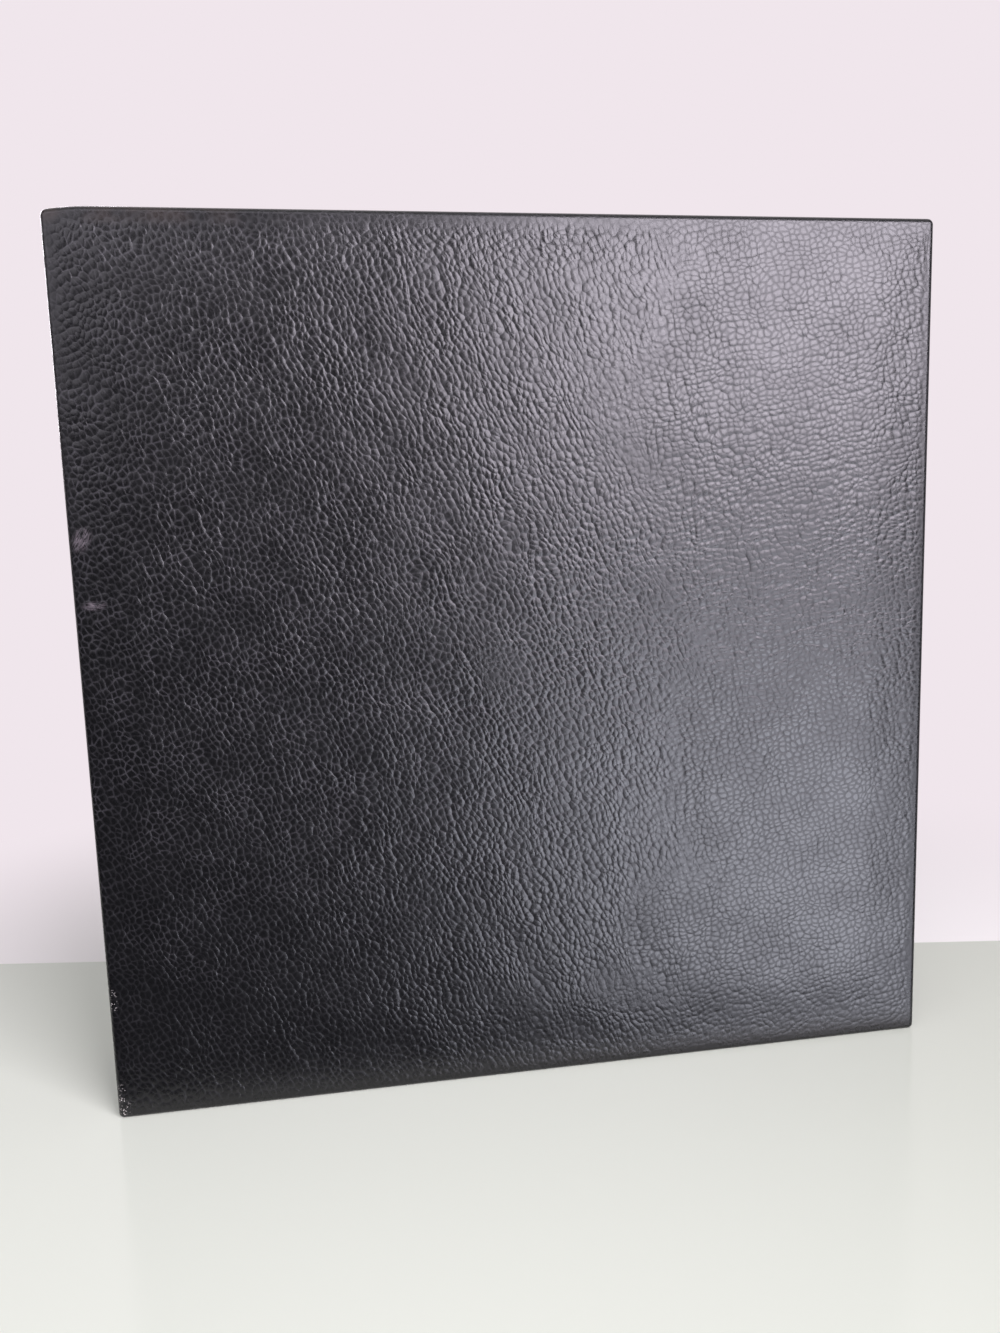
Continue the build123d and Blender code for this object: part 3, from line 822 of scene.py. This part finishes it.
def wadding_pad():
    """Pad between the front board and the hide: a flat foot, and the padded field over it.

    The height is 0.95 of the field's, so it comes to nothing along the foot's rim.
    """
    foot_low, foot_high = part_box("front_padding")
    x, z = np.meshgrid(np.linspace(foot_low.x, foot_high.x, 75),
                       np.linspace(foot_low.z, foot_high.z, 76))
    foot = foot_high.y + 0 * x
    share = 0.95
    crown = foot - share * raised_field(x, z)
    points = np.concatenate([np.stack([x, y, z], axis=-1).reshape(-1, 3) for y in (foot, crown)])
    lower = grid_faces(*x.shape)
    faces = np.concatenate([lower, lower[:, ::-1] + x.size]).tolist()
    return make_piece("wadding_pad", points, faces, points[:, [0, 2]], cotton)


wadding = wadding_pad()
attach(wadding, "cover")
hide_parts("front_padding")


def lifting_ribbon():
    """Ribbon along the tray floor and up its fore-edge wall, less a little for slack.

    Its path is a straight run with two low waves, a quarter circle, and a tab whose end
    leans in by the cube of its height. The section has a raised rib along both woven edges.
    """
    low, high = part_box("lifting_ribbon")
    thickness, fold, wave, lean = 0.4 * MM, 2.0 * MM, 0.22 * MM, 1.6 * MM
    along = np.linspace(0, 1, 120)
    run_x = low.x + (high.x - fold - low.x) * along
    slack = wave * (1 - np.cos(4 * math.pi * along)) * np.sin(math.pi * along)
    turn = np.linspace(0, math.pi / 2, arc_points)[1:]
    radius = fold - thickness
    up = np.linspace(0, 1, 14)[1:]
    rise = high.y - fold - low.y
    x = np.concatenate([run_x, high.x - fold + radius * np.sin(turn),
                        high.x - thickness - lean * up ** 3])
    y = np.concatenate([high.y - thickness - slack, high.y - fold + radius * np.cos(turn),
                        high.y - fold - rise * up])
    out_x = np.concatenate([0 * along, -np.sin(turn), -1 + 0 * up])
    out_y = np.concatenate([-1 + 0 * along, -np.cos(turn), 0 * up])
    length = np.concatenate([[0], np.cumsum(np.hypot(np.diff(x), np.diff(y)))])
    path = np.stack([x, y, out_x, out_y, length], axis=-1)
    across = np.array([0, 0.3, 0.9, 1.3, 6, 10, 14, 18.7, 19.1, 19.7, 20]) * MM + low.z
    dip = np.array([0.06, 0, 0, 0.08, 0.08, 0.08, 0.08, 0.08, 0, 0, 0.06]) * MM
    around = np.concatenate([across, across[::-1]])
    section = np.stack([np.concatenate([dip, thickness - 0.02 * MM + 0 * dip]), around, around],
                       axis=-1)
    return carried_section("satin_ribbon", path, section, satin), length[-1]


ribbon, ribbon_length = lifting_ribbon()
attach(ribbon, "base")
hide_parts("lifting_ribbon")

# Stage: one floor, a glass-topped table near the box and the wall's colour beyond it
wall_colour, wall_in_lamplight = linear("#f0e6ec"), linear("#efeee8")
# The table's second colour is painted shade for its window side
table_colour, table_painted_shade = linear("#dce2d3"), linear("#c3c9ba")
room_colour = (0.06, 0.06, 0.065, 1)
floor_reach = 6.0
floor_mesh = bpy.data.meshes.new("floor")
floor_mesh.from_pydata([(sx * floor_reach, sy * floor_reach, 0)
                        for sx, sy in ((-1, -1), (1, -1), (1, 1), (-1, 1))], [], [(0, 1, 2, 3)])
floor = bpy.data.objects.new("floor", floor_mesh)
bpy.context.scene.collection.objects.link(floor)


def studio_floor():
    """Table and wall on one floor, lit near the box and of even colour far from it.

    A line behind the box parts the table from the wall's colour. The lit floor takes the
    box's shadow. The wall's fades into an even glow from 0.12 m off, and the table's from
    0.9 m off, to the eye and in gloss. In front of the box, the table lets all light but the
    eye's pass, as low light from a window does at a table's edge.
    """
    wall_line_normal, wall_line = (0.1741, 0.9847, 0), (81.2 * MM, 81.8 * MM)
    wall_fade, table_fade = (0.12, 0.45), (0.9, 1.6)
    window_side, open_edge = (-100 * MM, 250 * MM), (-32 * MM, -46 * MM)
    material, node = new_material("pale_floor")
    place = node("TexCoord").outputs["Object"]
    axes = node("SeparateXYZ", {0: place})
    distance = node("VectorMath", {0: place}, operation="LENGTH").outputs["Value"]
    beyond = node("VectorMath", {0: place, 1: wall_line_normal},
                  operation="DOT_PRODUCT").outputs["Value"]
    beyond = node("MapRange", {0: beyond, 1: wall_line[0], 2: wall_line[1]})
    far = node("MapRange", {0: distance, 1: wall_fade[0], 2: wall_fade[1]}, **smooth)
    far = node("Math", {0: far, 1: beyond}, operation="MULTIPLY")
    horizon = node("MapRange", {0: distance, 1: table_fade[0], 2: table_fade[1]}, **smooth)
    far = node("Math", {0: far, 1: horizon}, operation="MAXIMUM")

    # Painted shade: the table's colour darkens towards the window, where the lamps light it more
    painted_shade_to_window = node("MapRange", {0: axes.outputs[0], 1: window_side[0], 2: window_side[1]},
                     **smooth)
    tone = node("Mix", {0: painted_shade_to_window, 6: table_colour, 7: table_painted_shade}, **rgba)
    glass = node("BsdfPrincipled", {"Base Color": tone.outputs[2], "Roughness": 0.12,
                                    "Specular IOR Level": 0.35})
    plain = node("BsdfDiffuse", {"Color": wall_in_lamplight})
    lit = node("MixShader", {0: beyond, 1: glass, 2: plain})
    even = node("Mix", {0: beyond, 6: table_colour, 7: wall_colour}, **rgba)
    glow = node("Emission", {"Color": even.outputs[2], "Strength": 1.0})

    rays = node("LightPath")
    seen = rays.outputs["Is Camera Ray"]
    for ray in ("Is Glossy Ray", "Is Transmission Ray"):
        seen = node("Math", {0: seen, 1: rays.outputs[ray]}, operation="MAXIMUM")
    seen = node("Math", {0: seen, 1: far}, operation="MULTIPLY")
    shown = node("MixShader", {0: seen, 1: lit, 2: glow})

    front = node("MapRange", {0: axes.outputs[1], 1: open_edge[0], 2: open_edge[1]}, **smooth)
    unseen = node("Math", {0: 1.0, 1: rays.outputs["Is Camera Ray"]}, operation="SUBTRACT")
    open_front = node("Math", {0: front, 1: unseen}, operation="MULTIPLY")
    shown = node("MixShader", {0: open_front, 1: shown, 2: node("BsdfTransparent")})
    node("OutputMaterial", {"Surface": shown})
    return material


floor_mesh.materials.append(studio_floor())


def soft_lamp(name, azimuth, elevation, distance, size, radiance, colour):
    """Rectangular lamp turned to the box, whose surface shows the given radiance (1 is white).

    Azimuth runs to the right of the front cover's outward direction, in degrees.
    """
    lamp = bpy.data.lights.new(name, "AREA")
    lamp.shape = "RECTANGLE"
    lamp.size, lamp.size_y = size
    lamp.energy = radiance * 4 * size[0] * size[1]
    lamp.color = colour
    turn, rise = math.radians(azimuth), math.radians(elevation)
    outward = Vector((math.sin(turn) * math.cos(rise), -math.cos(turn) * math.cos(rise),
                      math.sin(rise)))
    light = bpy.data.objects.new(name, lamp)
    light.location = Vector((0, 0, head / 2)) + distance * outward
    light.rotation_mode = "QUATERNION"
    light.rotation_quaternion = outward.to_track_quat("Z", "Y")
    light.visible_camera = False
    bpy.context.scene.collection.objects.link(light)
    return light


soft_lamp("window", 28.6, 19.5, 1.5, (0.88, 0.85), 13.5, (0.97, 0.90, 1.02))
soft_lamp("low_window", 28.6, -18.5, 1.7, (0.76, 0.78), 8.6, (0.92, 0.93, 1.06))
soft_lamp("side_fill", -45, 24, 2.0, (1.9, 1.0), 1.9, (0.98, 0.93, 1.04))
soft_lamp("upper_fill", -10, 44, 2.0, (1.6, 0.9), 1.7, (0.98, 0.93, 1.04))
soft_lamp("ceiling", 0, 88, 2.2, (3.0, 3.0), 0.45, (1.0, 1.0, 1.0))

# Light on the back and the spine alone, so that the floor in front keeps its own
back_window = soft_lamp("back_window", 213, 22, 1.6, (0.9, 0.8), 8, (0.98, 0.95, 1.02))
box_only = bpy.data.collections.new("box_only")
for piece in bpy.context.scene.objects:
    if piece.type == "MESH" and piece != floor:
        box_only.objects.link(piece)
back_window.light_linking.receiver_collection = box_only


def room():
    """World: the wall's colour to the eye, and in gloss from behind the box; else dim."""
    world = bpy.data.worlds.new("room")
    node = empty_tree(world)
    rays = node("LightPath")
    facing = node("SeparateXYZ", {0: node("TexCoord").outputs["Generated"]}).outputs[1]
    behind = node("MapRange", {0: facing, 1: -0.1, 2: 0.3}, **smooth)
    gloss = node("Math", {0: rays.outputs["Is Glossy Ray"],
                          1: rays.outputs["Is Transmission Ray"]}, operation="MAXIMUM")
    gloss = node("Math", {0: gloss, 1: behind}, operation="MULTIPLY")
    shown = node("Math", {0: rays.outputs["Is Camera Ray"], 1: gloss}, operation="MAXIMUM")
    dim = node("Background", {"Color": room_colour, "Strength": 1.0})
    wall = node("Background", {"Color": wall_colour, "Strength": 1.0})
    node("OutputWorld", {"Surface": node("MixShader", {0: shown, 1: dim, 2: wall})})
    return world


bpy.context.scene.world = room()

# Camera, solved from the cover's four corners in the photograph
photo_long_side, focal_pixels = 1333, 1035.3
yaw, pitch, roll = (math.radians(a) for a in (8.948, -8.026, -1.785))
across_from_middle, out_from_cover, above_floor = -66.04 * MM, 353.6 * MM, 203.03 * MM
camera_data = bpy.data.cameras.new("camera")
camera_data.sensor_width = 36.0
camera_data.lens = focal_pixels / photo_long_side * camera_data.sensor_width
camera = bpy.data.objects.new("camera", camera_data)
forward = Vector((math.sin(yaw) * math.cos(pitch), math.cos(yaw) * math.cos(pitch),
                  math.sin(pitch)))
level_right = Vector((math.cos(yaw), -math.sin(yaw), 0))
level_up = level_right.cross(forward)
right = level_right * math.cos(roll) + level_up * math.sin(roll)
up = level_up * math.cos(roll) - level_right * math.sin(roll)
eye = (across_from_middle, front_band - out_from_cover, above_floor)
camera.matrix_world = (Matrix.Translation(eye)
                       @ Matrix((right, up, -forward)).transposed().to_4x4())
bpy.context.scene.collection.objects.link(camera)
bpy.context.scene.camera = camera
bpy.context.scene.view_settings.view_transform = "Standard"
